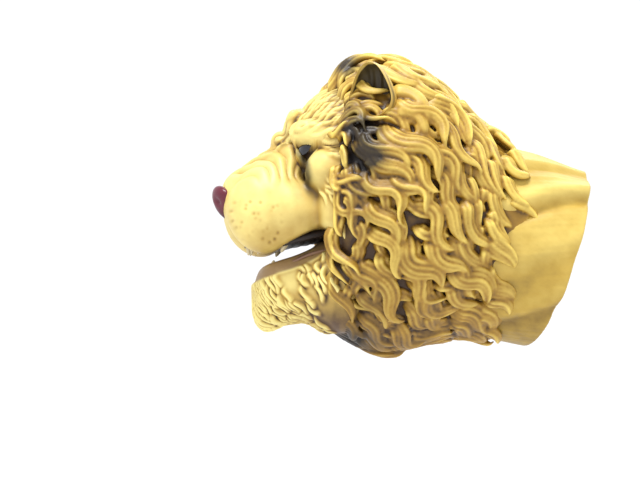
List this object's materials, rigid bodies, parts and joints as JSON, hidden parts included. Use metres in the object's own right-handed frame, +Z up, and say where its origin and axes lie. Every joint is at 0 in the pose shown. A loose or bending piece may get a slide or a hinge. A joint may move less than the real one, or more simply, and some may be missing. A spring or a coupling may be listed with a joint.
{
  "type": "lion head hand puppet",
  "caption": "Soft hollow lion-head hand puppet with a moulded mane: fingers in the snout raise it, the thumb drops the jaw, and the wrist goes in a neck sleeve.",
  "frame": {"origin": "centre of the wrist opening, in the plane of its rim", "axes": "+Z up, -Y the way the lion faces, +X the lion's left; X = 0 is the plane of symmetry"},
  "size_m": [0.1228, 0.1784, 0.1496],
  "materials": {
    "mane_vinyl": "soft moulded vinyl with a dark wash in its grooves",
    "sleeve_vinyl": "soft moulded vinyl, satin",
    "face_vinyl": "soft moulded vinyl with sprayed colour",
    "jaw_vinyl": "soft moulded vinyl with sprayed colour",
    "ear_vinyl": "soft moulded vinyl, dark inside the cup",
    "mouth_lining": "soft moulded vinyl, painted",
    "tongue_vinyl": "soft moulded vinyl, painted",
    "nose_paint": "satin paint on vinyl",
    "tooth_paint": "satin paint on vinyl",
    "eye_gloss": "gloss"
  },
  "bodies": {
    "head": {"neck_sleeve": "sleeve_vinyl", "skull_skin": "face_vinyl", "left_ear": "ear_vinyl", "right_ear": "ear_vinyl", "crown_mane": "mane_vinyl", "left_mane": "mane_vinyl", "right_mane": "mane_vinyl", "throat_mane": "mane_vinyl", "left_eye": "eye_gloss", "right_eye": "eye_gloss", "face_skin": "face_vinyl", "mouth_fold": "mouth_lining"},
    "snout": {"snout_skin": "face_vinyl", "mouth_roof": "mouth_lining", "nose_pad": "nose_paint", "upper_left_canine": "tooth_paint", "upper_right_canine": "tooth_paint", "upper_incisors": "tooth_paint"},
    "jaw": {"jaw_skin": "jaw_vinyl", "mouth_floor": "mouth_lining", "tongue": "tongue_vinyl", "lower_left_canine": "tooth_paint", "lower_right_canine": "tooth_paint", "lower_incisors": "tooth_paint"}
  },
  "joints": [
    {"name": "snout_lift", "type": "hinge", "parent": "head", "child": "snout", "pos_m": [0, -0.104, 0.008], "axis": [-1, 0, 0], "range_deg": [-3, 4], "stiffness_Nm_per_rad": 0.6, "springref_deg": 0.72},
    {"name": "jaw_open", "type": "hinge", "parent": "head", "child": "jaw", "pos_m": [0, -0.104, 0.008], "axis": [1, 0, 0], "range_deg": [-5, 14], "stiffness_Nm_per_rad": 0.6, "springref_deg": -0.33}
  ]
}
